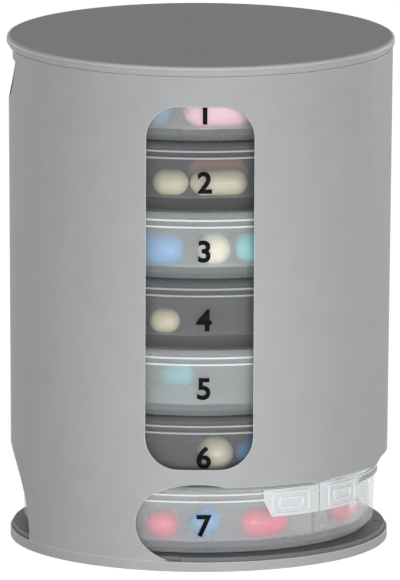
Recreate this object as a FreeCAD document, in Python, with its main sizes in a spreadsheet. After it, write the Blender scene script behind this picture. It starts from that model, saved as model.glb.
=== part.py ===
import FreeCAD, Part
import math
import os
import Sketcher

# A weekly pill tower: seven round day trays stand in a grey tower. Each tray has four compartments and
# four snap lids on a film hinge. The lowest tray slides out to the right over the floor plate, and the
# others lift out at the top, under a lift-off cap.
#
# Frame: millimetres, the origin at the bottom centre, +Z up, the window faces -Y, the lowest tray
# leaves towards +X. A tray's own frame has its foot at z = 0, its hinge line along Y and its tabs at X.

DAYS = ("sat", "fri", "thu", "wed", "tue", "mon", "sun")  # from the lowest tray to the highest

# name, millimetres or degrees, what it is
SIZES = (
    ("tray_radius", 49.2, "day tray, outer wall at the rim"),
    ("tray_draft", 0.5, "how much narrower the tray's wall is at its foot"),
    ("tray_rim_height", 14.7, "foot to rim of a day tray"),
    ("bevel_width", 2.1, "slanted edge round the tray's foot, across"),
    ("bevel_height", 1.9, "slanted edge round the tray's foot, up"),
    ("tray_wall", 1.3, "outer wall of a day tray, at its thinnest"),
    ("tray_floor", 3.2, "foot to compartment floor"),
    ("divider_thickness", 1.2, "cross walls between the compartments"),
    ("tray_angle", 312.0, "turn of a tray about Z, which puts its tabs at the front right"),
    ("stack_gap", 0.3, "running gap between pieces that stand on each other"),
    ("lid_height", 3.98, "height of a compartment lid"),
    ("lid_plate", 1.2, "thickness of a compartment lid's top"),
    ("lid_wall", 0.9, "wall round the underside of a lid, at its thinnest"),
    ("lid_overhang", 0.4, "how far a lid stands out from the tray"),
    ("lid_gap", 0.4, "gap between neighbouring lids"),
    ("tab_gap", 0.2, "running gap between a snap tab and the tray"),
    ("tab_proud", 0.35, "how far the tab stands out from the lid"),
    ("tab_height", 9.05, "lid top to the lower edge of its snap tab"),
    ("tab_angle", 21.0, "how far round the rim a snap tab reaches"),
    ("tab_slant", 2.4, "slant of the tab's far side, along the rim"),
    ("spine_half_width", 2.5, "half the width of the hinge spine"),
    ("film_gap", 0.2, "width of the film hinge beside the spine"),
    ("clip_wall", 1.0, "thickness of the spine's clip legs"),
    ("clip_depth", 2.2, "how far a clip leg reaches down beside the divider"),
    ("clip_gap", 0.15, "gap between a clip leg and the divider"),
    ("clip_start", 6.0, "from the middle of the spine to a clip leg"),
    ("clip_length", 24.0, "length of a clip leg"),
    ("ring_height", 2.8, "height of the tower's foot ring"),
    ("ring_proud", 0.2, "how far the foot ring stands out from the wall"),
    ("ring_width", 7.6, "foot ring, outside to bore"),
    ("plate_thickness", 1.2, "floor plate on the foot ring"),
    ("plate_inset", 0.8, "floor plate's edge behind the foot ring's"),
    ("plate_gap", 0.3, "gap between the floor plate and the tower's legs"),
    ("bump_radius", 1.3, "detent bump in front of the lowest tray, at its foot"),
    ("bump_crown", 0.7, "detent bump at its top"),
    ("bump_height", 0.25, "height of the detent bump"),
    ("bump_inset", 1.8, "floor plate's edge to the middle of the bump"),
    ("bore_gap", 1.45, "lid to the tower's bore at the foot, room for a tab to swing"),
    ("bore_draft", 0.75, "how much wider the bore is at the top"),
    ("wall_foot", 1.4, "tower wall at the foot"),
    ("wall_top", 1.7, "tower wall at the top"),
    ("window_sill", 5.2, "foot of the second tray to the window's lower edge"),
    ("window_head", 8.45, "window's upper edge to the tower's top edge"),
    ("window_half_width", 14.9, "half the width of the window"),
    ("window_corner", 9.0, "corner radius of the window"),
    ("thumb_radius", 15.0, "thumb notch in the tower's top edge"),
    ("arch_radius", 22.8, "push arch at the foot, on the left"),
    ("arch_step", 1.3, "foot ring to the centre of the arch"),
    ("mouth_end", 17.5, "how far the tray mouth reaches past the middle"),
    ("mouth_middle", 10.2, "foot ring to the widest point of the mouth's end"),
    ("mouth_clearance", 0.3, "lowest tray's lid to the mouth's upper edge"),
    ("mouth_crown", 1.0, "rise of the mouth above its upper edge, at the front"),
    ("mouth_upper_corner", 10.0, "upper corner radius of the mouth's end"),
    ("mouth_lower_corner", 8.8, "lower corner radius of the mouth's end"),
    ("mouth_side_rise", 1.5, "rise of the mouth at the right"),
    ("mouth_side_half_width", 18.0, "half the width of that rise"),
    ("cap_headroom", 0.87, "highest tray to the cap's ceiling"),
    ("cap_plate", 2.0, "thickness of the cap's top"),
    ("cap_rim", 1.8, "height of the cap's rim"),
    ("cap_overhang", 0.5, "how far the cap stands out from the wall"),
    ("neck_height", 0.98, "height of the neck under the cap's rim"),
    ("neck_inset", 0.1, "how far the neck is set back from the wall"),
    ("seat_gap", 0.1, "gap between the neck and the tower's top edge"),
    ("plug_depth", 3.55, "how far the cap's plug reaches into the tower"),
    ("plug_wall", 1.75, "thickness of the plug"),
    ("plug_gap", 0.15, "gap between the plug and the tower's lip"),
    ("lip_wall", 1.0, "tower's top lip, which stands round the plug"),
)

SLIGHT = 1e-6  # shorter than any real length
FLATS = 4  # flat stretches that the outer side of a moulded pocket is made of


class Term:
    """A length or an angle: its number, for drawing, and its text, for binding to the sheet."""

    def __init__(self, number, text):
        self.number = number
        self.text = text

    def __add__(self, other):
        other = term(other)
        return Term(self.number + other.number, f"({self.text} + {other.text})")

    def __sub__(self, other):
        other = term(other)
        return Term(self.number - other.number, f"({self.text} - {other.text})")

    def __mul__(self, other):
        other = term(other)
        return Term(self.number * other.number, f"({self.text} * {other.text})")

    def __truediv__(self, other):
        other = term(other)
        return Term(self.number / other.number, f"({self.text} / {other.text})")

    def __neg__(self):
        return term(0.0) - self


def term(value):
    return value if isinstance(value, Term) else Term(float(value), f"{float(value)}")


def root(value):
    return Term(math.sqrt(value.number), f"sqrt({value.text})")


def cosine(angle):
    return Term(math.cos(math.radians(angle.number)), f"cos({angle.text})")


def sine(angle):
    return Term(math.sin(math.radians(angle.number)), f"sin({angle.text})")


def make_sheet(doc):
    """The driving sizes, one row each, and a term for each of them."""
    sheet = doc.addObject("Spreadsheet::Sheet", "Sizes")
    terms = {}
    for row, (name, number, meaning) in enumerate(SIZES, start=1):
        sheet.set(f"A{row}", name)
        sheet.set(f"B{row}", str(number))
        sheet.set(f"C{row}", meaning)
        sheet.setAlias(f"B{row}", name)
        terms[name] = Term(number, f"Sizes.{name}")
    doc.recompute()
    return terms


def derive(s):
    """Sizes and heights that follow from the driving ones."""
    s["lid_foot"] = s["tray_rim_height"] + s["stack_gap"]
    s["lid_top"] = s["lid_foot"] + s["lid_height"]
    s["lid_under"] = s["lid_top"] - s["lid_plate"]
    s["pitch"] = s["lid_top"] + s["stack_gap"]
    s["tray_waist"] = s["tray_radius"] - s["tray_draft"]
    s["tray_foot_radius"] = s["tray_waist"] - s["bevel_width"]
    s["lid_radius"] = s["tray_radius"] + s["lid_overhang"]
    s["tab_radius"] = s["lid_radius"] + s["tab_proud"]
    s["hinge_offset"] = s["spine_half_width"] + s["film_gap"]
    s["plate_top"] = s["ring_height"] + s["plate_thickness"]
    s["stack_foot"] = s["plate_top"] + s["stack_gap"]
    s["stack_top"] = s["stack_foot"] + s["pitch"] * (len(DAYS) - 1) + s["lid_top"]
    s["bore_foot"] = s["lid_radius"] + s["bore_gap"]
    s["bore_top"] = s["bore_foot"] + s["bore_draft"]
    s["tower_foot"] = s["bore_foot"] + s["wall_foot"]
    s["tower_rim"] = s["bore_top"] + s["wall_top"]
    s["ring_radius"] = s["tower_foot"] + s["ring_proud"]
    s["ring_bore"] = s["ring_radius"] - s["ring_width"]
    s["plate_radius"] = s["ring_radius"] - s["plate_inset"]
    s["reach"] = s["ring_radius"] + s["ring_width"]  # past the wall, for what cuts through it
    s["cap_ceiling"] = s["stack_top"] + s["cap_headroom"]
    s["cap_top"] = s["cap_ceiling"] + s["cap_plate"]
    s["rim_under"] = s["cap_top"] - s["cap_rim"]
    s["neck_foot"] = s["rim_under"] - s["neck_height"]
    s["tower_top"] = s["neck_foot"] - s["seat_gap"]
    s["plug_foot"] = s["neck_foot"] - s["plug_depth"]
    s["lip_bore"] = s["tower_rim"] - s["lip_wall"]
    s["lip_foot"] = s["plug_foot"] - s["stack_gap"]
    s["mouth_top"] = s["stack_foot"] + s["lid_top"] + s["mouth_clearance"]
    # the sole of the mouth's end leaves its lower corner on the diagonal and runs out along the ring
    diagonal = math.sqrt(0.5)
    leave = s["mouth_middle"] - s["mouth_lower_corner"] * diagonal
    s["mouth_sole"] = leave / (1.0 - diagonal)
    corner_x = s["mouth_lower_corner"] - s["mouth_end"]
    s["mouth_foot_x"] = corner_x + (s["mouth_sole"] - s["mouth_lower_corner"]) * diagonal
    return s


def new_body(doc, label):
    body = doc.addObject("PartDesign::Body", label)
    body.Label = label
    return body


def new_sketch(body, name, role, lift=None):
    """A sketch on one of the body's origin planes, lifted along its normal if a height is given."""
    sketch = body.newObject("Sketcher::SketchObject", name)
    plane = next(f for f in body.Origin.OriginFeatures if f.Role == role)
    sketch.AttachmentSupport = [(plane, "")]
    sketch.MapMode = "FlatFace"
    if lift is not None:
        sketch.AttachmentOffset.Base.z = lift.number
        sketch.setExpression("AttachmentOffset.Base.z", lift.text)
    return sketch


def bind(sketch, kind, places, value):
    """Adds a constraint with a size and ties it to the sheet."""
    index = sketch.addConstraint(Sketcher.Constraint(kind, *places, value.number))
    sketch.setExpression(f"Constraints[{index}]", value.text)


def pin_point(sketch, geometry, point, x, y):
    """Holds a point of the sketch at x, y from the origin, or on an axis where one is None."""
    if x is None:
        sketch.addConstraint(Sketcher.Constraint("PointOnObject", geometry, point, -2))
    else:
        bind(sketch, "DistanceX", (-1, 1, geometry, point), x)
    if y is None:
        sketch.addConstraint(Sketcher.Constraint("PointOnObject", geometry, point, -1))
    else:
        bind(sketch, "DistanceY", (-1, 1, geometry, point), y)


def side_between(start, end, sloped):
    """A straight side. A sloped one is a spline of one span, which turns into a lighter face than a cone."""
    if sloped and abs(start.x - end.x) > SLIGHT and abs(start.y - end.y) > SLIGHT:
        return Part.BSplineCurve([start, end], [2, 2], [0, 1], False, 1, [1, 1], False)
    return Part.LineSegment(start, end)


def add_polygon(sketch, corners, sloped=False):
    """A closed outline of straight sides through corners (x, y), where None lies on the axis."""
    points = [
        FreeCAD.Vector(x.number if x else 0.0, y.number if y else 0.0, 0) for x, y in corners
    ]
    first = sketch.GeometryCount
    count = len(points)
    for i in range(count):
        sketch.addGeometry(side_between(points[i], points[(i + 1) % count], sloped), False)
    for i in range(count):
        after = first + (i + 1) % count
        sketch.addConstraint(Sketcher.Constraint("Coincident", first + i, 2, after, 1))
    for i, (x, y) in enumerate(corners):
        pin_point(sketch, first + i, 1, x, y)


def add_circle(sketch, x, y, radius):
    centre = FreeCAD.Vector(x.number if x else 0.0, y.number if y else 0.0, 0)
    index = sketch.addGeometry(Part.Circle(centre, FreeCAD.Vector(0, 0, 1), radius.number), False)
    pin_point(sketch, index, 3, x, y)
    bind(sketch, "Radius", (index,), radius)


def revolve(body, sketch, name, angle=360.0, cut=False, flip=False):
    kind = "PartDesign::Groove" if cut else "PartDesign::Revolution"
    feature = body.newObject(kind, name)
    feature.Profile = sketch
    feature.ReferenceAxis = (sketch, ["V_Axis"])
    angle = term(angle)
    feature.Angle = angle.number
    feature.setExpression("Angle", angle.text)
    feature.Reversed = flip
    return feature


def pad(body, sketch, name, length):
    feature = body.newObject("PartDesign::Pad", name)
    feature.Profile = sketch
    feature.Length = length.number
    feature.setExpression("Length", length.text)
    return feature


def pocket(body, sketch, name, depth=None, flip=False, both=False):
    """A cut of the given depth, or right through on one side or on both."""
    feature = body.newObject("PartDesign::Pocket", name)
    feature.Profile = sketch
    feature.Reversed = flip
    if depth is None:
        feature.Type = "ThroughAll"
    else:
        feature.Length = depth.number
        feature.setExpression("Length", depth.text)
    feature.Midplane = both
    return feature


def place(feature, z=None, turn=None, around=0.0):
    """Lifts a piece to its height and turns it about Z."""
    turning = turn.number if turn else 0.0
    spin = FreeCAD.Rotation(FreeCAD.Vector(0, 0, 1), turning + around)
    feature.Placement = FreeCAD.Placement(FreeCAD.Vector(0, 0, z.number if z else 0.0), spin)
    if z:
        feature.setExpression("Placement.Base.z", z.text)
    if turn:
        feature.setExpression("Placement.Rotation.Angle", f"{turn.text} + {around}")


# ---------------------------------------------------------------- the tower


def window_outline(sketch, s):
    """A tall opening with round corners, even about the Z axis."""
    half = s["window_half_width"]
    corner = s["window_corner"]
    low = s["stack_foot"] + s["pitch"] + s["window_sill"]
    high = s["tower_top"] - s["window_head"]
    inner = half - corner
    corners = (
        (inner, low + corner, -90, 0),
        (inner, high - corner, 0, 90),
        (-inner, high - corner, 90, 180),
        (-inner, low + corner, 180, 270),
    )
    up = FreeCAD.Vector(0, 0, 1)
    arcs = []
    for x, y, start, end in corners:
        circle = Part.Circle(FreeCAD.Vector(x.number, y.number, 0), up, corner.number)
        arc = Part.ArcOfCircle(circle, math.radians(start), math.radians(end))
        arcs.append(sketch.addGeometry(arc, False))
    for i, arc in enumerate(arcs):
        after = arcs[(i + 1) % 4]
        side = Part.LineSegment(sketch.getPoint(arc, 2), sketch.getPoint(after, 1))
        line = sketch.addGeometry(side, False)
        sketch.addConstraint(Sketcher.Constraint("Tangent", arc, 2, line, 1))
        sketch.addConstraint(Sketcher.Constraint("Tangent", line, 2, after, 1))
        upright = i in (0, 2)
        sketch.addConstraint(Sketcher.Constraint("Vertical" if upright else "Horizontal", line))
    for arc in arcs[1:]:
        sketch.addConstraint(Sketcher.Constraint("Equal", arcs[0], arc))
    bind(sketch, "Radius", (arcs[0],), corner)
    pin_point(sketch, arcs[0], 3, inner, low + corner)
    pin_point(sketch, arcs[2], 3, -inner, high - corner)


def mouth_outline(sketch, s):
    """The tray mouth seen from the front: a round left end under a low crown, then level to the right."""
    upper = s["mouth_upper_corner"]
    lower = s["mouth_lower_corner"]
    ground = s["ring_height"]
    level = s["mouth_top"]
    peak = level + s["mouth_crown"]
    middle = ground + s["mouth_middle"]
    upper_x = upper - s["mouth_end"]
    # the crown's arc touches the upper corner's from outside and has its centre on the axis
    above = peak - middle
    crown = (upper_x * upper_x + above * above - upper * upper) / ((above - upper) * 2)
    crown_y = peak - crown
    lower_x = lower - s["mouth_end"]
    sole = s["mouth_sole"]
    sole_x = s["mouth_foot_x"]

    up = FreeCAD.Vector(0, 0, 1)

    def arc(x, y, radius, start, end):
        circle = Part.Circle(FreeCAD.Vector(x, y, 0), up, radius.number)
        shape = Part.ArcOfCircle(circle, math.radians(start), math.radians(end))
        return sketch.addGeometry(shape, False)

    touch = math.degrees(math.atan2((middle - crown_y).number, upper_x.number))
    right = math.degrees(math.asin((level - crown_y).number / crown.number))
    crown_arc = arc(0, crown_y.number, crown, right, touch)
    upper_arc = arc(upper_x.number, middle.number, upper, touch, 180)
    lower_arc = arc(lower_x.number, middle.number, lower, 180, 225)
    sole_y = ground + sole
    sole_arc = arc(sole_x.number, sole_y.number, sole, 225, 270)
    reach = s["reach"]
    corner_low = FreeCAD.Vector(reach.number, ground.number, 0)
    corner_high = FreeCAD.Vector(reach.number, level.number, 0)
    floor = sketch.addGeometry(Part.LineSegment(sketch.getPoint(sole_arc, 2), corner_low), False)
    side = sketch.addGeometry(Part.LineSegment(corner_low, corner_high), False)
    head = sketch.addGeometry(Part.LineSegment(corner_high, sketch.getPoint(crown_arc, 1)), False)

    sketch.addConstraint(Sketcher.Constraint("Tangent", crown_arc, 2, upper_arc, 1))
    sketch.addConstraint(Sketcher.Constraint("Tangent", upper_arc, 2, lower_arc, 1))
    sketch.addConstraint(Sketcher.Constraint("Tangent", lower_arc, 2, sole_arc, 1))
    sketch.addConstraint(Sketcher.Constraint("Tangent", sole_arc, 2, floor, 1))
    sketch.addConstraint(Sketcher.Constraint("Coincident", floor, 2, side, 1))
    sketch.addConstraint(Sketcher.Constraint("Coincident", side, 2, head, 1))
    sketch.addConstraint(Sketcher.Constraint("Coincident", head, 2, crown_arc, 1))
    sketch.addConstraint(Sketcher.Constraint("Vertical", side))
    sketch.addConstraint(Sketcher.Constraint("Horizontal", upper_arc, 3, upper_arc, 2))
    pin_point(sketch, side, 1, reach, ground)
    bind(sketch, "DistanceY", (-1, 1, side, 2), level)
    bind(sketch, "DistanceY", (-1, 1, head, 2), level)
    pin_point(sketch, crown_arc, 3, None, crown_y)
    pin_point(sketch, upper_arc, 3, upper_x, middle)
    bind(sketch, "Radius", (upper_arc,), upper)
    bind(sketch, "DistanceX", (-1, 1, lower_arc, 3), lower_x)
    pin_point(sketch, sole_arc, 3, sole_x, sole_y)


def arch_outline(sketch, ground, step, radius):
    """A round arch that stands on the foot ring, its centre a step above it."""
    centre = ground + step
    dip = math.asin(step.number / radius.number)
    middle = FreeCAD.Vector(0, centre.number, 0)
    circle = Part.Circle(middle, FreeCAD.Vector(0, 0, 1), radius.number)
    arc = sketch.addGeometry(Part.ArcOfCircle(circle, -dip, math.pi + dip), False)
    chord = Part.LineSegment(sketch.getPoint(arc, 2), sketch.getPoint(arc, 1))
    line = sketch.addGeometry(chord, False)
    sketch.addConstraint(Sketcher.Constraint("Coincident", arc, 2, line, 1))
    sketch.addConstraint(Sketcher.Constraint("Coincident", line, 2, arc, 1))
    sketch.addConstraint(Sketcher.Constraint("Horizontal", line))
    bind(sketch, "DistanceY", (-1, 1, line, 1), ground)
    pin_point(sketch, arc, 3, None, centre)
    bind(sketch, "Radius", (arc,), radius)


def make_housing(doc, s):
    """The tower: a drafted wall on a foot ring, with window, thumb notch, push arch and tray mouth."""
    body = new_body(doc, "housing_shell")
    profile = new_sketch(body, "housing_profile", "XZ_Plane")
    ring_top = s["ring_height"]
    outline = (
        (s["ring_bore"], None),
        (s["ring_radius"], None),
        (s["ring_radius"], ring_top),
        (s["tower_foot"], ring_top),
        (s["tower_rim"], s["tower_top"]),
        (s["lip_bore"], s["tower_top"]),
        (s["lip_bore"], s["lip_foot"]),
        (s["bore_top"], s["lip_foot"]),
        (s["bore_foot"], ring_top),
        (s["ring_bore"], ring_top),
    )
    add_polygon(profile, outline)
    revolve(body, profile, "housing_wall")

    window = new_sketch(body, "window_sketch", "XZ_Plane")
    window_outline(window, s)
    pocket(body, window, "window", flip=True)

    mouth = new_sketch(body, "mouth_sketch", "XZ_Plane")
    mouth_outline(mouth, s)
    pocket(body, mouth, "tray_mouth", both=True)

    side = new_sketch(body, "mouth_side_sketch", "YZ_Plane")
    half = s["mouth_side_half_width"]
    rise = s["mouth_top"] + s["mouth_side_rise"]
    inner_half = half - s["mouth_side_rise"] * 3.0
    outline = (
        (-half, s["mouth_top"]),
        (-inner_half, rise),
        (inner_half, rise),
        (half, s["mouth_top"]),
        (half, ring_top),
        (-half, ring_top),
    )
    add_polygon(side, outline)
    pocket(body, side, "mouth_side_rise", flip=True)

    arch = new_sketch(body, "arch_sketch", "YZ_Plane")
    arch_outline(arch, ring_top, s["arch_step"], s["arch_radius"])
    pocket(body, arch, "push_arch")

    notch = new_sketch(body, "thumb_sketch", "YZ_Plane")
    add_circle(notch, None, s["tower_top"], s["thumb_radius"])
    pocket(body, notch, "thumb_notch")
    return body


def block(doc, name, low, high):
    """A box between two corners, each given as three terms."""
    box = doc.addObject("Part::Box", name)
    for prop, lower, upper in zip(("Length", "Width", "Height"), low, high):
        box.setExpression(prop, (upper - lower).text)
    for axis, value in zip("xyz", low):
        box.setExpression(f"Placement.Base.{axis}", value.text)
    return box


def disc(doc, name, radius, foot, height):
    cylinder = doc.addObject("Part::Cylinder", name)
    cylinder.setExpression("Radius", radius.text)
    cylinder.setExpression("Height", height.text)
    cylinder.setExpression("Placement.Base.z", foot.text)
    return cylinder


def make_plate(doc, s):
    """The floor plate: a disc in the bore, wider where the mouth and the push arch leave room for it.

    A low bump on it holds the lowest tray back.
    """
    foot = s["ring_height"]
    top = s["plate_top"]
    thick = s["plate_thickness"]
    far = s["reach"]
    arch_side = s["arch_radius"] - s["plate_gap"]
    inner = disc(doc, "plate_disc", s["bore_foot"] - s["plate_gap"], foot, thick)
    outer = disc(doc, "plate_flange", s["plate_radius"], foot, thick)
    mouth_low = (s["mouth_foot_x"] + s["plate_gap"], -far, foot)
    mouth_room = block(doc, "mouth_room", mouth_low, (far, far, top))
    arch_room = block(doc, "arch_room", (-far, -arch_side, foot), (term(0), arch_side, top))
    rooms = doc.addObject("Part::MultiFuse", "flange_rooms")
    rooms.Shapes = [mouth_room, arch_room]
    flange = doc.addObject("Part::MultiCommon", "plate_flanges")
    flange.Shapes = [outer, rooms]

    bump = doc.addObject("Part::Cone", "detent_bump")
    bump.setExpression("Radius1", s["bump_radius"].text)
    bump.setExpression("Radius2", s["bump_crown"].text)
    bump.setExpression("Height", s["bump_height"].text)
    bump.setExpression("Placement.Base.x", (s["plate_radius"] - s["bump_inset"]).text)
    bump.setExpression("Placement.Base.z", top.text)

    plate = doc.addObject("Part::MultiFuse", "base_plate")
    plate.Shapes = [inner, flange, bump]
    plate.Refine = True
    plate.Label = "base_plate"
    return plate


def make_cap(doc, s):
    """The lift-off cap: a flat top with a rim, a neck on the tower's edge and a plug in its lip."""
    body = new_body(doc, "tower_lid")
    profile = new_sketch(body, "cap_profile", "XZ_Plane")
    rim = s["tower_rim"] + s["cap_overhang"]
    neck = s["tower_rim"] - s["neck_inset"]
    plug = s["lip_bore"] - s["plug_gap"]
    plug_bore = plug - s["plug_wall"]
    outline = (
        (None, s["cap_top"]),
        (rim, s["cap_top"]),
        (rim, s["rim_under"]),
        (neck, s["rim_under"]),
        (neck, s["neck_foot"]),
        (plug, s["neck_foot"]),
        (plug, s["plug_foot"]),
        (plug_bore, s["plug_foot"]),
        (plug_bore, s["cap_ceiling"]),
        (None, s["cap_ceiling"]),
    )
    add_polygon(profile, outline)
    revolve(body, profile, "cap_shell")
    return body


# ---------------------------------------------------------------- a day tray and its lids


def add_quarter(sketch, x, y, radius):
    """A quarter of a disc whose straight sides stand off from the axes by x and y."""
    right = math.copysign(math.sqrt(radius.number**2 - y.number**2), x.number)
    high = math.copysign(math.sqrt(radius.number**2 - x.number**2), y.number)
    corner = FreeCAD.Vector(x.number, y.number, 0)
    along_x = FreeCAD.Vector(right, y.number, 0)
    along_y = FreeCAD.Vector(x.number, high, 0)
    level = sketch.addGeometry(Part.LineSegment(corner, along_x), False)
    upright = sketch.addGeometry(Part.LineSegment(corner, along_y), False)
    angles = [math.atan2(point.y, point.x) for point in (along_x, along_y)]
    turns = x.number * y.number > 0
    start, end = angles if turns else reversed(angles)
    circle = Part.Circle(FreeCAD.Vector(0, 0, 0), FreeCAD.Vector(0, 0, 1), radius.number)
    arc = sketch.addGeometry(Part.ArcOfCircle(circle, start, end), False)
    first, last = (1, 2) if turns else (2, 1)
    sketch.addConstraint(Sketcher.Constraint("Horizontal", level))
    sketch.addConstraint(Sketcher.Constraint("Vertical", upright))
    sketch.addConstraint(Sketcher.Constraint("Coincident", level, 1, upright, 1))
    sketch.addConstraint(Sketcher.Constraint("Coincident", level, 2, arc, first))
    sketch.addConstraint(Sketcher.Constraint("Coincident", upright, 2, arc, last))
    sketch.addConstraint(Sketcher.Constraint("Coincident", arc, 3, -1, 1))
    bind(sketch, "Radius", (arc,), radius)
    pin_point(sketch, level, 1, x, y)


def quarter_corners(x, y, radius, way_x, way_y):
    """Corners of a quarter pocket: two straight sides off the axes, and flats along the round side."""
    corners = [(x, y), (root(radius * radius - y * y), y)]
    for i in range(1, FLATS):
        angle = term(90.0 * i / FLATS)
        corners.append((radius * cosine(angle), radius * sine(angle)))
    corners.append((x, root(radius * radius - x * x)))
    return [(cx * way_x, cy * way_y) for cx, cy in corners]


def make_tray(doc, s, day, foot):
    """A round cup with four compartments between cross walls."""
    body = new_body(doc, f"{day}_tray")
    profile = new_sketch(body, f"{day}_tray_profile", "XZ_Plane")
    outline = (
        (None, None),
        (s["tray_foot_radius"], None),
        (s["tray_waist"], s["bevel_height"]),
        (s["tray_radius"], s["tray_rim_height"]),
        (None, s["tray_rim_height"]),
    )
    add_polygon(profile, outline, sloped=True)
    revolve(body, profile, f"{day}_cup")
    quarters = new_sketch(body, f"{day}_quarters", "XY_Plane", s["tray_rim_height"])
    offset = s["divider_thickness"] / 2.0
    inside = s["tray_waist"] - s["tray_wall"]
    for way_x in (1.0, -1.0):
        for way_y in (1.0, -1.0):
            add_polygon(quarters, quarter_corners(offset, offset, inside, way_x, way_y))
    pocket(body, quarters, f"{day}_compartments", s["tray_rim_height"] - s["tray_floor"])
    place(body, foot, s["tray_angle"])
    return body


def make_spine(doc, s, day, foot):
    """The strip that the lids hinge on: it clips over the cross wall and closes the lids' rim at its ends."""
    body = new_body(doc, f"{day}_spine")
    rim = s["tray_rim_height"]
    half = s["spine_half_width"]
    end = root(s["lid_radius"] * s["lid_radius"] - half * half)
    strip = new_sketch(body, f"{day}_strip_sketch", "XY_Plane", s["lid_under"])
    add_polygon(strip, ((-half, -end), (half, -end), (half, end), (-half, end)))
    pad(body, strip, f"{day}_strip", s["lid_plate"])

    web = new_sketch(body, f"{day}_web_sketch", "XY_Plane", rim)
    near = s["divider_thickness"] / 2.0 + s["clip_gap"]
    outside = near + s["clip_wall"]
    add_polygon(web, ((-outside, -end), (outside, -end), (outside, end), (-outside, end)))
    pad(body, web, f"{day}_web", s["lid_top"] - rim)

    legs = new_sketch(body, f"{day}_leg_sketch", "XY_Plane", rim - s["clip_depth"])
    start = s["clip_start"]
    stop = start + s["clip_length"]
    for way in (1.0, -1.0):
        for side in (1.0, -1.0):
            corners = (
                (near * side, start * way),
                (outside * side, start * way),
                (outside * side, stop * way),
                (near * side, stop * way),
            )
            add_polygon(legs, corners)
    pad(body, legs, f"{day}_clip_legs", s["clip_depth"] + s["lid_plate"])
    place(body, foot, s["tray_angle"])
    return body


# a lid's name, its side of the hinge line and its turn about Z, in its tray's frame
LIDS = (
    ("front", -1.0, 0.0),
    ("right", 1.0, 0.0),
    ("back", -1.0, 180.0),
    ("left", 1.0, 180.0),
)


def make_lid(doc, s, day, foot, which, way, around):
    """A quarter lid: a shallow tray turned over, with a snap tab at its free corner."""
    name = f"{day}_lid_{which}"
    body = new_body(doc, name)
    side = s["lid_gap"] / 2.0
    outline = new_sketch(body, f"{name}_outline", "XY_Plane", s["lid_foot"])
    add_quarter(outline, s["hinge_offset"], side * way, s["lid_radius"])
    pad(body, outline, f"{name}_block", s["lid_height"])

    tab = new_sketch(body, f"{name}_tab_sketch", "XZ_Plane")
    tab_foot = s["lid_top"] - s["tab_height"]
    tab_bore = s["tray_radius"] + s["tab_gap"]
    outline = (
        (tab_bore, tab_foot),
        (s["tab_radius"], tab_foot),
        (s["tab_radius"], s["lid_under"]),
        (tab_bore, s["lid_under"]),
    )
    add_polygon(tab, outline)
    revolve(body, tab, f"{name}_tab", s["tab_angle"], flip=way < 0)

    slant = new_sketch(body, f"{name}_slant_sketch", "YZ_Plane")
    reach = s["tab_radius"] * sine(s["tab_angle"])
    past = reach + s["lid_wall"]
    below = tab_foot - s["lid_wall"]
    corner = reach - s["tab_slant"]
    outline = (
        (reach * way, s["lid_foot"]),
        (corner * way, tab_foot),
        (corner * way, below),
        (past * way, below),
        (past * way, s["lid_foot"]),
    )
    add_polygon(slant, outline)
    pocket(body, slant, f"{name}_slant", flip=True)

    edge = new_sketch(body, f"{name}_edge_sketch", "XY_Plane", tab_foot)
    far = s["reach"]
    back = -s["lid_wall"]
    add_polygon(edge, ((back, back * way), (far, back * way), (far, side * way), (back, side * way)))
    pocket(body, edge, f"{name}_edge", flip=True)

    hollow = new_sketch(body, f"{name}_hollow_sketch", "XY_Plane", s["lid_foot"])
    wall = s["lid_wall"]
    corners = quarter_corners(s["hinge_offset"] + wall, side + wall, s["lid_radius"] - wall, 1.0, way)
    add_polygon(hollow, corners)
    pocket(body, hollow, f"{name}_hollow", s["lid_height"] - s["lid_plate"], flip=True)
    place(body, foot, s["tray_angle"], around)
    return body


# ---------------------------------------------------------------- assembly


def check(doc, parts):
    """Stops the build if any object failed or any piece isn't one valid solid."""
    for item in doc.Objects:
        if "Invalid" in item.State or "Error" in item.State:
            raise RuntimeError(f"{item.Name} failed: {item.State}")
    for part in parts:
        if part.Shape.isNull() or not part.Shape.isValid() or len(part.Shape.Solids) != 1:
            raise RuntimeError(f"{part.Label} isn't one valid solid")


def main():
    doc = FreeCAD.newDocument("pill_tower")
    sizes = derive(make_sheet(doc))
    parts = [make_housing(doc, sizes), make_plate(doc, sizes), make_cap(doc, sizes)]
    for level, day in enumerate(DAYS):
        foot = sizes["stack_foot"] + sizes["pitch"] * level
        parts.append(make_tray(doc, sizes, day, foot))
        parts.append(make_spine(doc, sizes, day, foot))
        for which, way, around in LIDS:
            parts.append(make_lid(doc, sizes, day, foot, which, way, around))
    doc.recompute()
    check(doc, parts)
    os.makedirs("parts", exist_ok=True)
    for part in parts:
        part.Shape.exportStep(f"parts/{part.Label}.step")
    print(len(parts), "pieces written")


main()
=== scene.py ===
import math

import bmesh
import bpy
from mathutils import Matrix, Quaternion, Vector


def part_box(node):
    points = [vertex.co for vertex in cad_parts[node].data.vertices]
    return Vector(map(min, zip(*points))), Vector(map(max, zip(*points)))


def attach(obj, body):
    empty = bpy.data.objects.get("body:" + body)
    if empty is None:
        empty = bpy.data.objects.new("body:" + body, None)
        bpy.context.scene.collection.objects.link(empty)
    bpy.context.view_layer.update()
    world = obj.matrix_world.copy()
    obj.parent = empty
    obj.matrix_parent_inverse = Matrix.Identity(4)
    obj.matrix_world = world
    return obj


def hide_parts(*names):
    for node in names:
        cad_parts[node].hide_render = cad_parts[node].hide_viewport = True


bl_info = {
    "name": "Weekly Pill Tower",
    "version": (1, 0, 0),
    "blender": (4, 5, 0),
    "location": "View3D > Sidebar > Pill Tower",
    "description": "Dresses a tower of seven day trays with moulded plastics, day numbers and pills",
    "category": "Add Mesh",
}

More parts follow.
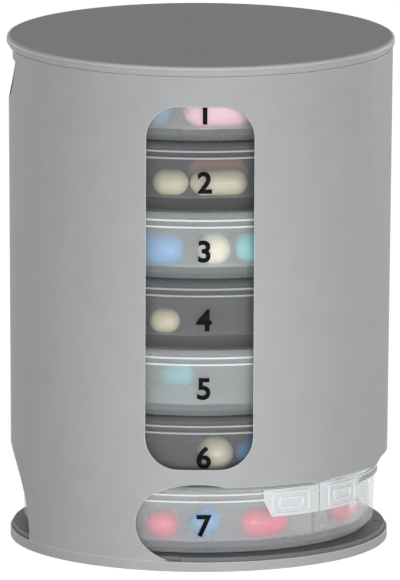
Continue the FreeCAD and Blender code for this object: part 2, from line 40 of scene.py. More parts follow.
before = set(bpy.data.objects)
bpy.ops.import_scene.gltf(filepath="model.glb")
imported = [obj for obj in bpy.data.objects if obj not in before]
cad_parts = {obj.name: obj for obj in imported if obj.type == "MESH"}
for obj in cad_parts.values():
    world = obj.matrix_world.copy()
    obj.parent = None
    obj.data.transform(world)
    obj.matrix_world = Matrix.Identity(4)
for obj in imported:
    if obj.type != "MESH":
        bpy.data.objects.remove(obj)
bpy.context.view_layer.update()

MM = 0.001
DAYS = ("sat", "fri", "thu", "wed", "tue", "mon", "sun")  # from the lowest tray to the highest
SMOKE_DAYS = ("fri", "wed", "mon")
DAY_NUMBERS = {"sun": 1, "mon": 2, "tue": 3, "wed": 4, "thu": 5, "fri": 6, "sat": 7}
TRAY_BORE = 46.48  # mm, a compartment's outer wall at the middle of its flats, where it is closest in
TRAY_FLOOR = 3.2  # mm, a tray's foot to the floor of its compartments
PILL_CLEARANCE = 0.1  # mm, between a pill and what it lies on
SEAM = math.radians(42)  # the seam between the two front tabs, from the front towards +X
# a lid's name, its side of the seam and its turn about the tray in degrees
LID_PLACES = (("front", -1, 0), ("right", 1, 0), ("back", -1, 180), ("left", 1, 180))


def tray_foot(day):
    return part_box(f"{day}_tray")[0].z


def tray_radius():
    low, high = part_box("sat_tray")
    return (high.x - low.x) / 2


# ---------------------------------------------------------------- materials


def hex_colour(text):
    """An sRGB hex value as linear red, green, blue and alpha."""
    parts = [int(text[i : i + 2], 16) / 255 for i in (1, 3, 5)]
    linear = [c / 12.92 if c <= 0.04045 else ((c + 0.055) / 1.055) ** 2.4 for c in parts]
    return (*linear, 1.0)


def add_node(tree, kind, inputs=None, **settings):
    """Adds a node. An input is a value, or the socket that feeds it."""
    node = tree.nodes.new(kind)
    for name, value in settings.items():
        setattr(node, name, value)
    for name, value in (inputs or {}).items():
        socket = node.inputs[name]
        if isinstance(value, bpy.types.NodeSocket):
            tree.links.new(value, socket)
        else:
            socket.default_value = value
    return node


def new_material(name):
    """An empty material with its tree, a Principled shader and Object coordinates."""
    material = bpy.data.materials.new(name)
    material.use_nodes = True
    tree = material.node_tree
    tree.nodes.clear()
    shader = add_node(tree, "ShaderNodeBsdfPrincipled")
    output = add_node(tree, "ShaderNodeOutputMaterial")
    tree.links.new(shader.outputs["BSDF"], output.inputs["Surface"])
    place = add_node(tree, "ShaderNodeTexCoord").outputs["Object"]
    return material, tree, shader, place


def moulded_abs(name, colour, mottle, roughness):
    """ABS from a spark-eroded mould: an even satin skin with a very fine grain and faint flow mottling."""
    material, tree, shader, place = new_material(name)
    # the grain of a spark-eroded mould is about 0.1 mm; drawn at 0.35 mm so that it shows
    grain = add_node(
        tree, "ShaderNodeTexNoise", {"Vector": place, "Scale": 1 / (0.35 * MM), "Detail": 3.0}
    )
    # flow mottling, a few millimetres across
    flow = add_node(
        tree,
        "ShaderNodeTexNoise",
        {"Vector": place, "Scale": 1 / (7.0 * MM), "Detail": 4.0, "Roughness": 0.6},
    )
    tint = add_node(tree, "ShaderNodeMix", {"Factor": flow.outputs["Fac"]}, data_type="RGBA")
    tint.inputs["A"].default_value = hex_colour(colour)
    tint.inputs["B"].default_value = hex_colour(mottle)
    tree.links.new(tint.outputs["Result"], shader.inputs["Base Color"])
    gloss = add_node(
        tree,
        "ShaderNodeMapRange",
        {"Value": grain.outputs["Fac"], "To Min": roughness - 0.05, "To Max": roughness + 0.07},
    )
    tree.links.new(gloss.outputs["Result"], shader.inputs["Roughness"])
    bump = add_node(
        tree, "ShaderNodeBump", {"Height": grain.outputs["Fac"], "Strength": 0.3, "Distance": 0.07 * MM}
    )
    tree.links.new(bump.outputs["Normal"], shader.inputs["Normal"])
    shader.inputs["Specular IOR Level"].default_value = 0.12
    return material


def frosted_polypropylene(name, colour, shade, cover, clearness, roughness):
    """Thin polypropylene: part of the light goes straight through, part is blurred, the rest is milky."""
    material, tree, shader, place = new_material(name)
    # haze from uneven cooling, a few millimetres across
    haze = add_node(
        tree, "ShaderNodeTexNoise", {"Vector": place, "Scale": 1 / (9.0 * MM), "Detail": 3.0}
    )
    tint = add_node(tree, "ShaderNodeMix", {"Factor": haze.outputs["Fac"]}, data_type="RGBA")
    tint.inputs["A"].default_value = hex_colour(colour)
    tint.inputs["B"].default_value = hex_colour(shade)
    tree.links.new(tint.outputs["Result"], shader.inputs["Base Color"])
    gloss = add_node(
        tree,
        "ShaderNodeMapRange",
        {"Value": haze.outputs["Fac"], "To Min": roughness - 0.04, "To Max": roughness + 0.04},
    )
    tree.links.new(gloss.outputs["Result"], shader.inputs["Roughness"])
    shader.inputs["Alpha"].default_value = cover
    shader.inputs["Transmission Weight"].default_value = clearness
    shader.inputs["IOR"].default_value = 1.3
    return material


def printed_ink():
    """Pad-printed black ink: a thin, even and slightly glossy film."""
    material, tree, shader, place = new_material("pad-printed ink")
    film = add_node(tree, "ShaderNodeTexNoise", {"Vector": place, "Scale": 1 / (0.4 * MM)})
    tint = add_node(tree, "ShaderNodeMix", {"Factor": film.outputs["Fac"]}, data_type="RGBA")
    tint.inputs["A"].default_value = hex_colour("#030304")
    tint.inputs["B"].default_value = hex_colour("#09090A")
    tree.links.new(tint.outputs["Result"], shader.inputs["Base Color"])
    shader.inputs["Roughness"].default_value = 0.6
    shader.inputs["Specular IOR Level"].default_value = 0.1
    return material


PILL_COLOURS = {
    "teal": "#0E7FA8",
    "blue": "#1F95D2",
    "pink": "#F4B6C6",
    "red": "#E23A62",
    "cream": "#EFE6C4",
    "amber": "#B98058",
    "mint": "#52D6DC",
    "white": "#F3F2EE",
}


def pill_coating(colour):
    """A film-coated pill: smooth and slightly glossy, with faint powder marks."""
    material, tree, shader, place = new_material(f"pill coating {colour}")
    powder = add_node(tree, "ShaderNodeTexNoise", {"Vector": place, "Scale": 1 / (0.8 * MM), "Detail": 4.0})
    tint = add_node(tree, "ShaderNodeMix", {"Factor": powder.outputs["Fac"]}, data_type="RGBA")
    base = hex_colour(PILL_COLOURS[colour])
    tint.inputs["A"].default_value = base
    tint.inputs["B"].default_value = (*[min(1.0, c * 1.15) for c in base[:3]], 1.0)
    tree.links.new(tint.outputs["Result"], shader.inputs["Base Color"])
    shader.inputs["Roughness"].default_value = 0.35
    shader.inputs["Coat Weight"].default_value = 0.3
    return material


FLOOR_LIFT = 0.75  # what brings the lit floor up to white for the camera


def seen_directly(tree):
    """1 for rays from the camera, or mirrored or let through on their way to it, and 0 for other light."""
    path = add_node(tree, "ShaderNodeLightPath").outputs
    seen = path["Is Camera Ray"]
    for kind in ("Is Glossy Ray", "Is Transmission Ray"):
        seen = add_node(tree, "ShaderNodeMath", {0: seen, 1: path[kind]}, operation="MAXIMUM").outputs[0]
    return seen


def paper_sweep(colour):
    """A matt paper floor, which keeps the object's shadow and is white to the camera."""
    material, tree, shader, place = new_material("matt paper")
    fibre = add_node(tree, "ShaderNodeTexNoise", {"Vector": place, "Scale": 1 / (3.0 * MM)})
    tint = add_node(tree, "ShaderNodeMix", {"Factor": fibre.outputs["Fac"]}, data_type="RGBA")
    tint.inputs["A"].default_value = hex_colour(colour)
    tint.inputs["B"].default_value = hex_colour("#FFFFFF")
    tree.links.new(tint.outputs["Result"], shader.inputs["Base Color"])
    shader.inputs["Roughness"].default_value = 0.9
    shader.inputs["Emission Color"].default_value = (1, 1, 1, 1)
    lift = add_node(tree, "ShaderNodeMath", {0: seen_directly(tree), 1: FLOOR_LIFT}, operation="MULTIPLY")
    tree.links.new(lift.outputs[0], shader.inputs["Emission Strength"])
    return material


_materials = {}


def plastics(role):
    """A plastic by its slot's name: its faces, a lighter copy that paints a highlight on its edges or
    raised lines, and a tray's thick parts.
    """
    colours = bpy.context.scene.pill_tower_colours
    if role not in _materials:
        _materials[role] = {
            "grey_plastic": lambda: (
                moulded_abs("moulded grey ABS", colours.grey, colours.grey_mottle, 0.5),
                # a lighter copy for the eased edges: a painted highlight
                moulded_abs("moulded grey ABS painted edge highlight", colours.grey_edge, colours.grey_edge, 0.35),
            ),
            "dark_grey_plastic": lambda: (
                moulded_abs("moulded dark grey ABS", colours.dark, colours.dark_mottle, 0.45),
                # the plate's eased edges take its lighter mottle colour: a painted highlight
                moulded_abs("moulded dark grey ABS painted edge highlight", colours.dark_mottle, colours.dark_mottle, 0.35),
            ),
            "frosted_clear_plastic": lambda: (
                frosted_polypropylene(
                    "frosted polypropylene", colours.frost, colours.frost_shade, 0.3, 0.4, 0.28
                ),
                # opaque and glossier, for the raised lines: painted highlight lines
                frosted_polypropylene(
                    "frosted polypropylene painted highlight line", colours.frost_bead, colours.frost_bead, 0.85, 0.0, 0.16
                ),
                frosted_polypropylene(
                    "thick frosted polypropylene", colours.frost, colours.frost_shade, 0.7, 0.1, 0.25
                ),
            ),
            "smoke_plastic": lambda: (
                frosted_polypropylene(
                    "smoke polypropylene", colours.smoke, colours.smoke_shade, 0.22, 0.15, 0.22
                ),
                # lighter and denser than the smoke, for the raised lines: painted highlight lines
                frosted_polypropylene(
                    "smoke polypropylene painted highlight line", colours.smoke_bead, colours.smoke_bead, 0.7, 0.0, 0.16
                ),
                frosted_polypropylene(
                    "thick smoke polypropylene", colours.smoke, colours.smoke_shade, 0.7, 0.1, 0.22
                ),
            ),
        }[role]()
    return _materials[role]


def tray_slot(day):
    return "smoke_plastic" if day in SMOKE_DAYS else "frosted_clear_plastic"


# ---------------------------------------------------------------- meshes


def new_piece(name, mesh):
    piece = bpy.data.objects.new(name, mesh)
    bpy.context.scene.collection.objects.link(piece)
    return piece


def settle(piece, name):
    """Applies the piece's modifiers to a plain mesh, and returns a new object with it."""
    bpy.context.view_layer.update()
    graph = bpy.context.evaluated_depsgraph_get()
    mesh = bpy.data.meshes.new_from_object(piece.evaluated_get(graph))
    mesh.name = name
    bpy.data.objects.remove(piece)
    return new_piece(name, mesh)


def round_top(work, radius):
    """Rounds the outer edge of a lathe-turned piece's top face, and gives the rounding the piece's second
    material, a lighter painted highlight.
    """
    top = max(vert.co.z for vert in work.verts)
    out = max(vert.co.xy.length for vert in work.verts)
    slack = 0.01 * MM
    rim = [
        edge
        for edge in work.edges
        if all(v.co.z > top - slack and v.co.xy.length > out - slack for v in edge.verts)
    ]
    bmesh.ops.bevel(work, geom=rim, offset=radius, segments=5, profile=0.5, affect="EDGES", material=1)


def eased_copy(node, name, edge, rounding=0.0, clamp=True, sharp=math.radians(32)):
    """A copy of a solid with its edges eased, as a mould leaves them, and its top's rim rounded; the eased
    faces take the second material, which on the tower paints a highlight.
    """
    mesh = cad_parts[node].data.copy()
    work = bmesh.new()
    work.from_mesh(mesh)
    bmesh.ops.remove_doubles(work, verts=work.verts, dist=0.002 * MM)
    bmesh.ops.dissolve_limit(
        work, angle_limit=math.radians(0.2), verts=work.verts, edges=work.edges
    )
    mesh.materials.clear()
    for _ in range(2):
        mesh.materials.append(None)
    if rounding:
        round_top(work, rounding)
    for face in work.faces:
        face.smooth = True
    work.to_mesh(mesh)
    work.free()
    piece = new_piece(name, mesh)
    bevel = piece.modifiers.new("eased edges", "BEVEL")
    bevel.width = edge
    bevel.segments = 3
    # the eased faces take slot 1, which on the tower is a lighter painted highlight
    bevel.material = 1
    bevel.limit_method = "ANGLE"
    bevel.angle_limit = sharp
    bevel.use_clamp_overlap = clamp
    weighted = piece.modifiers.new("even shading", "WEIGHTED_NORMAL")
    weighted.keep_sharp = True
    return settle(piece, name)


LEVEL = 0.9  # a face whose normal's upright part is over this counts as a floor or a top
TAB_PROUD = 0.6 * MM  # a face that stands out this far from the tray belongs to a lid's snap tab


def dress(piece, slot, body, *nodes):
    """Gives a piece its plastic and slot, its body, and the solids that it stands for."""
    faces, edges, *thick = plastics(slot)
    piece.data.materials[0] = faces
    # slot 1 holds the eased edges: a lighter painted highlight on the tower, the face plastic on a tray
    piece.data.materials[1] = faces if thick else edges
    if thick:
        # a tray's floors, its lids' tops and their snap tabs are thick, and so look denser
        piece.data.materials.append(thick[0])
        tab_from = tray_radius() + TAB_PROUD
        for face in piece.data.polygons:
            if abs(face.normal.z) > LEVEL or face.center.xy.length > tab_from:
                face.material_index = 2
    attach(piece, body)
    if nodes:
        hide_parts(*nodes)


def piece_tree(name, inputs):
    """An empty Geometry Nodes tree with named inputs and one geometry output."""
    tree = bpy.data.node_groups.new(name, "GeometryNodeTree")
    tree.interface.new_socket("Geometry", in_out="OUTPUT", socket_type="NodeSocketGeometry")
    for label, kind in inputs:
        tree.interface.new_socket(label, in_out="INPUT", socket_type=kind)
    return tree


def made_piece(name, tree, values):
    """The plain mesh that a tree makes from the values of its inputs."""
    holder = new_piece(name, bpy.data.meshes.new(name))
    maker = holder.modifiers.new(tree.name, "NODES")
    maker.node_group = tree
    for item in tree.interface.items_tree:
        if item.in_out == "INPUT":
            maker[item.identifier] = values[item.name]
    return settle(holder, name)


def maths(tree, operation, first, second=0.0):
    return add_node(tree, "ShaderNodeMath", {0: first, 1: second}, operation=operation).outputs[0]


# ---------------------------------------------------------------- settings


class PillTowerSizes(bpy.types.PropertyGroup):
    edge: bpy.props.FloatProperty(
        name="Eased edge", description="Radius left on the moulded edges", default=0.4 * MM, unit="LENGTH"
    )
    number_height: bpy.props.FloatProperty(
        name="Number height", description="Height of the day numbers", default=5.8 * MM, unit="LENGTH"
    )
    number_centre: bpy.props.FloatProperty(
        name="Number centre",
        description="Tray foot to the middle of its number",
        default=8.05 * MM,
        unit="LENGTH",
    )
    number_turn: bpy.props.FloatProperty(
        name="Number turn",
        description="From the front to the middle of a number",
        default=math.radians(1.5),
        subtype="ANGLE",
    )
    camera_distance: bpy.props.FloatProperty(
        name="Camera distance",
        description="From the camera to the tower's axis",
        default=3.903,
        unit="LENGTH",
    )
    camera_elevation: bpy.props.FloatProperty(
        name="Camera elevation",
        description="Height of the camera above the horizon",
        default=math.radians(10.67),
        subtype="ANGLE",
    )
    camera_roll: bpy.props.FloatProperty(
        name="Camera roll",
        description="Turn of the camera about its view",
        default=math.radians(0.24),
        subtype="ANGLE",
    )


def colour_property(name, default):
    return bpy.props.StringProperty(name=name, description=f"{name}, as an sRGB hex value", default=default)


class PillTowerColours(bpy.types.PropertyGroup):
    grey: colour_property("Tower grey", "#A2A3A4")
    grey_mottle: colour_property("Tower grey, mottled", "#ACADAE")
    # lighter than the tower grey: a painted highlight on the eased edges
    grey_edge: colour_property("Tower grey, painted edge highlight", "#C2C3C4")
    dark: colour_property("Floor plate grey", "#6A6C6E")
    dark_mottle: colour_property("Floor plate grey, mottled", "#747678")
    frost: colour_property("Frosted tray", "#EEF3F5")
    frost_shade: colour_property("Frosted tray, hazed", "#F6F9FA")
    # drawn opaque on the raised lines: a painted highlight
    frost_bead: colour_property("Frosted tray, raised lines' painted highlight", "#EEF2F4")
    smoke: colour_property("Smoke tray", "#A0A2A4")
    smoke_shade: colour_property("Smoke tray, hazed", "#AAACAE")
    # lighter than the smoke grey: a painted highlight on the raised lines
    smoke_bead: colour_property("Smoke tray, raised lines' painted highlight", "#C4C7CA")
    floor: colour_property("Floor", "#FAFAFA")


# ---------------------------------------------------------------- operators


# name, place and size in metres, power in watts
LAMPS = (
    ("front softbox", (0.2, -1.5, 0.19), (1.2, 0.34), 12.8),
    ("low front card", (0.0, -0.24, 0.012), (0.5, 0.02), 0.22),
    ("left rear card", (-1.2, 0.9, 0.07), (1.0, 0.12), 4.5),
    ("right rear card", (1.2, 0.9, 0.07), (1.0, 0.12), 5.5),
    ("overhead softbox", (0.0, 0.2, 1.6), (0.5, 0.5), 0.6),
)
LAMPS_AIM = (0.0, 0.0, 0.07)  # metres
WORLD_LIGHT = 0.18  # strength of the even light from all sides
VIEW_MIDDLE = (0.08, 0.0, 69.48)  # mm, what the camera looks at
PIXELS_PER_MM = 3.5836  # at the tower's axis
FRAME_HEIGHT = 580  # pixels


class PILLTOWER_OT_stage(bpy.types.Operator):
    """Floor, soft lights and the camera"""

    bl_idname = "pill_tower.stage"
    bl_label = "Stage"

    def execute(self, context):
        scene = context.scene
        sizes = scene.pill_tower_sizes
        scene.view_settings.view_transform = "Standard"
        self.floor(scene.pill_tower_colours.floor)
        self.world(scene)
        for row in LAMPS:
            self.lamp(*row)
        middle = Vector(VIEW_MIDDLE) * MM
        tilt = sizes.camera_elevation
        back = Vector((0.0, -math.cos(tilt), math.sin(tilt)))
        data = bpy.data.cameras.new("camera")
        camera = bpy.data.objects.new("camera", data)
        scene.collection.objects.link(camera)
        camera.location = middle + back * sizes.camera_distance
        camera.rotation_mode = "QUATERNION"
        roll = Quaternion((0, 0, 1), sizes.camera_roll)
        camera.rotation_quaternion = (-back).to_track_quat("-Z", "Y") @ roll
        data.lens = data.sensor_width * PIXELS_PER_MM / MM * sizes.camera_distance / FRAME_HEIGHT
        data.clip_end = 20.0
        scene.camera = camera
        return {"FINISHED"}

    def floor(self, colour):
        mesh = bpy.data.meshes.new("floor")
        reach = 6.0
        corners = [(-reach, -reach, 0), (reach, -reach, 0), (reach, reach, 0), (-reach, reach, 0)]
        mesh.from_pydata(corners, [], [(0, 1, 2, 3)])
        floor = new_piece("floor", mesh)
        mesh.materials.append(paper_sweep(colour))

    def world(self, scene):
        world = bpy.data.worlds.new("studio")
        scene.world = world
        world.use_nodes = True
        tree = world.node_tree
        tree.nodes.clear()
        soft = add_node(tree, "ShaderNodeBackground", {"Color": (1, 1, 1, 1), "Strength": WORLD_LIGHT})
        white = add_node(tree, "ShaderNodeBackground", {"Color": (1, 1, 1, 1), "Strength": 1.0})
        mix = add_node(
            tree,
            "ShaderNodeMixShader",
            {0: seen_directly(tree), 1: soft.outputs[0], 2: white.outputs[0]},
        )
        add_node(tree, "ShaderNodeOutputWorld", {"Surface": mix.outputs[0]})

    def lamp(self, name, place, size, power):
        data = bpy.data.lights.new(name, "AREA")
        data.shape = "RECTANGLE"
        data.size, data.size_y = size
        data.energy = power
        lamp = bpy.data.objects.new(name, data)
        bpy.context.scene.collection.objects.link(lamp)
        lamp.location = place
        lamp.rotation_mode = "QUATERNION"
        lamp.rotation_quaternion = (Vector(LAMPS_AIM) - Vector(place)).to_track_quat("-Z", "Y")


class PILLTOWER_OT_tower(bpy.types.Operator):
    """The tower wall, its floor plate and its cap, with eased edges drawn lighter as a painted highlight"""

    bl_idname = "pill_tower.tower"
    bl_label = "Tower"

    def execute(self, context):
        edge = context.scene.pill_tower_sizes.edge
        wall = eased_copy("housing_shell", "tower_wall", edge / 2, clamp=False)
        dress(wall, "grey_plastic", "tower", "housing_shell")
        plate = eased_copy("base_plate", "floor_plate", edge / 4)
        dress(plate, "dark_grey_plastic", "tower", "base_plate")
        cap = eased_copy("tower_lid", "lift_off_cap", edge / 8, rounding=edge * 2.2)
        dress(cap, "grey_plastic", "tower_lid", "tower_lid")
        return {"FINISHED"}


class PILLTOWER_OT_trays(bpy.types.Operator):
    """The seven day trays with their hinge spines and snap lids"""

    bl_idname = "pill_tower.trays"
    bl_label = "Day trays"

    def execute(self, context):
        edge = context.scene.pill_tower_sizes.edge * 0.7
        for day in DAYS:
            slot = tray_slot(day)
            cup = eased_copy(f"{day}_tray", f"{day}_cup", edge)
            dress(cup, slot, f"{day}_drawer", f"{day}_tray")
            spine = eased_copy(f"{day}_spine", f"{day}_hinge_strip", edge / 2)
            dress(spine, slot, f"{day}_drawer", f"{day}_spine")
            for which, *_ in LID_PLACES:
                lid = eased_copy(f"{day}_lid_{which}", f"{day}_snap_lid_{which}", edge)
                dress(lid, slot, f"{day}_lid_{which}", f"{day}_lid_{which}")
        return {"FINISHED"}


# outlines raised on a lid's skirt and tab: name, mm out from the tray's rim, turn from the tabs' seam
# and sweep round the tray in degrees, foot above the tray's foot and rise in mm
# the rim outline's two lines stand for the glints on the lid's rounded shoulder and along its foot: painted
# highlight lines
TRIMS = (
    ("Rim", 0.45, 43.3, 85.6, 14.9, 1.9),
    ("Tab", 0.75, 11.0, 13.4, 10.6, 6.1),
    ("Grip", 0.75, 11.0, 8.6, 12.3, 2.7),
)
TRIM_WIRE = 0.32 * MM  # radius of a raised line
TRIM_CORNER = 0.5 * MM  # radius of an outline's corners
TRIM_STEP = 0.8 * MM  # length of a line's straight pieces


class PILLTOWER_OT_trims(bpy.types.Operator):
    """The raised lines round the lids' skirts and on their snap tabs, drawn lighter than the lids as
    painted highlight lines
    """

    bl_idname = "pill_tower.trims"
    bl_label = "Lid trims"

    def execute(self, context):
        tree = self.trim_tree()
        for day in DAYS:
            for which, way, around in LID_PLACES:
                # the lines take the lighter copy of the tray's plastic: painted highlight lines
                values = {"Wire": TRIM_WIRE, "Plastic": plastics(tray_slot(day))[1]}
                for name, out, turn, sweep, foot, rise in TRIMS:
                    values[f"{name} radius"] = tray_radius() + out * MM
                    values[f"{name} turn"] = SEAM + math.radians(around + way * turn)
                    values[f"{name} sweep"] = math.radians(sweep)
                    values[f"{name} foot"] = foot * MM + tray_foot(day)
                    values[f"{name} rise"] = rise * MM
                piece = made_piece(f"{day}_lid_trim_{which}", tree, values)
                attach(piece, f"{day}_lid_{which}")
        return {"FINISHED"}

    def trim_tree(self):
        """Rounded outlines, bent round the tray and drawn as thin raised lines in a lighter plastic, as
        painted highlight lines.
        """
        parts = ("radius", "turn", "sweep", "foot", "rise")
        sizes = [f"{name} {part}" for name, *_ in TRIMS for part in parts]
        inputs = [(label, "NodeSocketFloat") for label in (*sizes, "Wire")]
        tree = piece_tree("lid trim", (*inputs, ("Plastic", "NodeSocketMaterial")))
        given = add_node(tree, "NodeGroupInput").outputs
        joined = add_node(tree, "GeometryNodeJoinGeometry")
        section = add_node(
            tree, "GeometryNodeCurvePrimitiveCircle", {"Resolution": 8, "Radius": given["Wire"]}
        )
        for name, *_ in TRIMS:
            bent = self.bent_outline(tree, given, name)
            line = add_node(
                tree, "GeometryNodeCurveToMesh", {"Curve": bent, "Profile Curve": section.outputs["Curve"]}
            )
            tree.links.new(line.outputs["Mesh"], joined.inputs["Geometry"])
        smooth = add_node(tree, "GeometryNodeSetShadeSmooth", {"Geometry": joined.outputs["Geometry"]})
        clad = add_node(
            tree, "GeometryNodeSetMaterial", {"Geometry": smooth.outputs[0], "Material": given["Plastic"]}
        )
        plain = add_node(tree, "GeometryNodeRealizeInstances", {"Geometry": clad.outputs["Geometry"]})
        add_node(tree, "NodeGroupOutput", {"Geometry": plain.outputs["Geometry"]})
        return tree

    def bent_outline(self, tree, given, name):
        """A flat rectangle with round corners, whose width is bent round the Z axis."""
        radius = given[f"{name} radius"]
        width = maths(tree, "MULTIPLY", radius, given[f"{name} sweep"])
        flat = add_node(
            tree,
            "GeometryNodeCurvePrimitiveQuadrilateral",
            {"Width": width, "Height": given[f"{name} rise"]},
        )
        soft = add_node(
            tree, "GeometryNodeFilletCurve", {"Curve": flat.outputs["Curve"], "Radius": TRIM_CORNER}
        )
        fine = add_node(
            tree,
            "GeometryNodeResampleCurve",
            {"Curve": soft.outputs["Curve"], "Length": TRIM_STEP},
            mode="LENGTH",
        )
        place = add_node(tree, "GeometryNodeInputPosition").outputs["Position"]
        axes = add_node(tree, "ShaderNodeSeparateXYZ", {"Vector": place}).outputs
        turn = maths(tree, "ADD", maths(tree, "DIVIDE", axes["X"], radius), given[f"{name} turn"])
        across = maths(tree, "MULTIPLY", maths(tree, "SINE", turn), radius)
        ahead = maths(tree, "MULTIPLY", maths(tree, "COSINE", turn), radius)
        middle = maths(tree, "MULTIPLY", given[f"{name} rise"], 0.5)
        height = maths(tree, "ADD", maths(tree, "ADD", axes["Y"], middle), given[f"{name} foot"])
        forward = maths(tree, "MULTIPLY", ahead, -1.0)
        round_axis = add_node(tree, "ShaderNodeCombineXYZ", {"X": across, "Y": forward, "Z": height})
        bent = add_node(
            tree,
            "GeometryNodeSetPosition",
            {"Geometry": fine.outputs["Curve"], "Position": round_axis.outputs["Vector"]},
        )
        return bent.outputs["Geometry"]


FONT_SIZE = 1.42  # the font's size for a digit one unit high
STROKE_GROWTH = 0.22 * MM  # what is added round a digit's strokes
INK_FILM = 0.12 * MM  # thickness of the print
INK_INSET = 0.1 * MM  # print's back face inside the rim's radius; the sloped wall lies a little deeper


class PILLTOWER_OT_numbers(bpy.types.Operator):
    """Plain day numbers, one on the front of each tray"""

    bl_idname = "pill_tower.numbers"
    bl_label = "Day numbers"

    def execute(self, context):
        sizes = context.scene.pill_tower_sizes
        ink = printed_ink()
        wall = tray_radius() - INK_INSET
        turn = sizes.number_turn
        for day in DAYS:
            data = bpy.data.curves.new(f"{day}_digit", "FONT")
            data.body = str(DAY_NUMBERS[day])
            data.align_x = "CENTER"
            data.align_y = "CENTER"
            data.size = sizes.number_height * FONT_SIZE
            data.offset = STROKE_GROWTH
            piece = settle(new_piece(f"{day}_digit", data), f"{day}_number")
            mesh = piece.data
            work = bmesh.new()
            work.from_mesh(mesh)
            bmesh.ops.recalc_face_normals(work, faces=work.faces)
            grown = bmesh.ops.extrude_face_region(work, geom=work.faces[:])
            for vert in (item for item in grown["geom"] if isinstance(item, bmesh.types.BMVert)):
                vert.co.z += INK_FILM
            low = min(vert.co.y for vert in work.verts)
            high = max(vert.co.y for vert in work.verts)
            rise = tray_foot(day) + sizes.number_centre - (low + high) / 2
            for vert in work.verts:
                x, y, proud = vert.co
                reach = wall + proud
                vert.co = (reach * math.sin(x / wall + turn), -reach * math.cos(x / wall + turn), y + rise)
            bmesh.ops.remove_doubles(work, verts=work.verts, dist=0.001 * MM)
            bmesh.ops.recalc_face_normals(work, faces=work.faces)
            work.to_mesh(mesh)
            work.free()
            mesh.materials.clear()
            mesh.materials.append(ink)
            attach(piece, f"{day}_drawer")
        return {"FINISHED"}


# where pills lie: day, coatings of the two ends, length and radius in mm, degrees from
# the front, mm in from the wall, mm above the compartment's floor, degrees that one end is raised
PILLS = (
    ("sun", "teal", "teal", 15.0, 4.2, -21, 0, 0, 0),
    ("sun", "pink", "pink", 19.0, 4.4, 6.5, 0, 0, 0),
    ("mon", "cream", "cream", 10.0, 3.6, -11, 0, 0, 0),
    ("mon", "cream", "cream", 16.0, 3.6, 7, 0, 0, 0),
    ("mon", "amber", "amber", 17.0, 3.8, 8, 8.2, 1.5, 0),
    ("tue", "blue", "blue", 15.0, 4.3, -16, 0, 0, 0),
    ("tue", "cream", "cream", 9.0, 4.3, 5.5, 0, 0, 0),
    ("tue", "mint", "mint", 12.0, 4.4, 21.5, 0, 0, 0),
    ("wed", "cream", "cream", 8.6, 3.4, -13, 0, 0, 0),
    ("thu", "mint", "mint", 10.0, 3.4, -17, 22, 0, 0),
    ("fri", "cream", "cream", 10.0, 4.6, 6.2, 0, 0, 0),
    ("fri", "blue", "blue", 11.0, 4.2, 21.5, 0, 0, 0),
    ("sat", "red", "red", 9.5, 4.0, -14, 0, 0, 0),
    ("sat", "teal", "blue", 10.0, 3.8, 2, 0, 0, 40),
    ("sat", "red", "red", 14.0, 4.0, 25, 0, 0, 0),
    ("sat", "red", "pink", 12.0, 3.6, 68, 0, 0, 0),
    ("sat", "white", "white", 10.0, 3.8, 95, 2, 0, 0),
    ("sat", "cream", "cream", 11.0, 4.0, 178, 3, 0, 0),
)


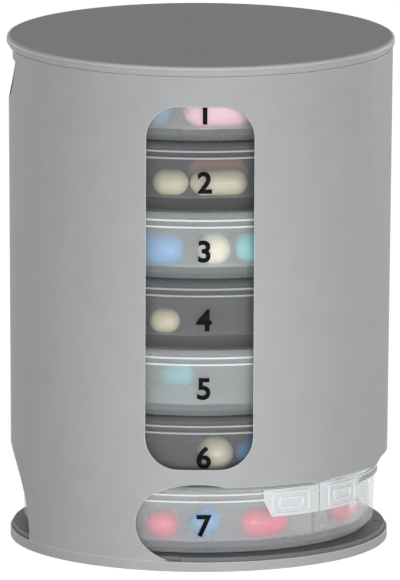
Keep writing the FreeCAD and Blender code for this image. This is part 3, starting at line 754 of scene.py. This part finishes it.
class PILLTOWER_OT_pills(bpy.types.Operator):
    """Capsules that lie in the compartments"""

    bl_idname = "pill_tower.pills"
    bl_label = "Pills"

    def execute(self, context):
        coatings = {colour: pill_coating(colour) for colour in PILL_COLOURS}
        tree = self.capsule_tree()
        for day in DAYS:
            parts = [row for row in PILLS if row[0] == day]
            for count, row in enumerate(parts):
                self.pill(tree, coatings, count, row)
        return {"FINISHED"}

    def capsule_tree(self):
        """A round-ended capsule along Z: a sphere whose halves are drawn apart."""
        inputs = (
            ("Radius", "NodeSocketFloat"),
            ("Straight", "NodeSocketFloat"),
            ("First coating", "NodeSocketMaterial"),
            ("Second coating", "NodeSocketMaterial"),
        )
        tree = piece_tree("capsule", inputs)
        given = add_node(tree, "NodeGroupInput").outputs
        ball = add_node(
            tree, "GeometryNodeMeshUVSphere", {"Segments": 32, "Rings": 17, "Radius": given["Radius"]}
        )
        place = add_node(tree, "GeometryNodeInputPosition")
        axes = add_node(tree, "ShaderNodeSeparateXYZ", {"Vector": place.outputs["Position"]})
        side = maths(tree, "SIGN", axes.outputs["Z"])
        half = maths(tree, "MULTIPLY", given["Straight"], 0.5)
        offset = add_node(tree, "ShaderNodeCombineXYZ", {"Z": maths(tree, "MULTIPLY", side, half)})
        drawn = add_node(
            tree,
            "GeometryNodeSetPosition",
            {"Geometry": ball.outputs["Mesh"], "Offset": offset.outputs["Vector"]},
        )
        upper = maths(tree, "GREATER_THAN", axes.outputs["Z"])
        first = add_node(
            tree,
            "GeometryNodeSetMaterial",
            {"Geometry": drawn.outputs["Geometry"], "Material": given["First coating"]},
        )
        second = add_node(
            tree,
            "GeometryNodeSetMaterial",
            {
                "Geometry": first.outputs["Geometry"],
                "Selection": upper,
                "Material": given["Second coating"],
            },
        )
        smooth = add_node(tree, "GeometryNodeSetShadeSmooth", {"Geometry": second.outputs["Geometry"]})
        plain = add_node(tree, "GeometryNodeRealizeInstances", {"Geometry": smooth.outputs[0]})
        add_node(tree, "NodeGroupOutput", {"Geometry": plain.outputs["Geometry"]})
        return tree

    def pill(self, tree, coatings, count, row):
        day, first, second, length, radius, turn, inward, rise, tilt = row
        values = {
            "Radius": radius * MM,
            "Straight": (length - 2 * radius) * MM,
            "First coating": coatings[first],
            "Second coating": coatings[second],
        }
        piece = made_piece(f"{day}_pill_{count + 1}", tree, values)
        # both round ends just clear the compartment's outer wall, and the lower one the floor
        turn, tilt = math.radians(turn), math.radians(tilt)
        half = length / 2 - radius
        clear = TRAY_BORE - radius - PILL_CLEARANCE
        out = math.sqrt(clear**2 - (half * math.cos(tilt)) ** 2) - inward
        height = TRAY_FLOOR + PILL_CLEARANCE + radius + half * math.sin(tilt) + rise
        place = Vector((out * math.sin(turn), -out * math.cos(turn), height)) * MM
        place.z += tray_foot(day)
        along = Matrix.Rotation(math.pi / 2 - tilt, 4, "Y")
        about = Matrix.Rotation(turn, 4, "Z")
        piece.data.transform(Matrix.Translation(place) @ about @ along)
        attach(piece, f"{day}_drawer")


class PILLTOWER_PT_panel(bpy.types.Panel):
    bl_label = "Pill Tower"
    bl_idname = "PILLTOWER_PT_panel"
    bl_space_type = "VIEW_3D"
    bl_region_type = "UI"
    bl_category = "Pill Tower"

    def draw(self, context):
        for settings in (context.scene.pill_tower_sizes, context.scene.pill_tower_colours):
            for name in settings.__annotations__:
                self.layout.prop(settings, name)
        for operator in OPERATORS:
            self.layout.operator(operator.bl_idname)


OPERATORS = (
    PILLTOWER_OT_stage,
    PILLTOWER_OT_tower,
    PILLTOWER_OT_trays,
    PILLTOWER_OT_trims,
    PILLTOWER_OT_numbers,
    PILLTOWER_OT_pills,
)
SETTINGS = (PillTowerSizes, PillTowerColours)


def register():
    for cls in (*SETTINGS, *OPERATORS, PILLTOWER_PT_panel):
        bpy.utils.register_class(cls)
    bpy.types.Scene.pill_tower_sizes = bpy.props.PointerProperty(type=PillTowerSizes)
    bpy.types.Scene.pill_tower_colours = bpy.props.PointerProperty(type=PillTowerColours)


def unregister():
    del bpy.types.Scene.pill_tower_colours
    del bpy.types.Scene.pill_tower_sizes
    for cls in reversed((*SETTINGS, *OPERATORS, PILLTOWER_PT_panel)):
        bpy.utils.unregister_class(cls)


def main():
    register()
    bpy.ops.pill_tower.stage()
    bpy.ops.pill_tower.tower()
    bpy.ops.pill_tower.trays()
    bpy.ops.pill_tower.trims()
    bpy.ops.pill_tower.numbers()
    bpy.ops.pill_tower.pills()


if __name__ == "__main__":
    main()
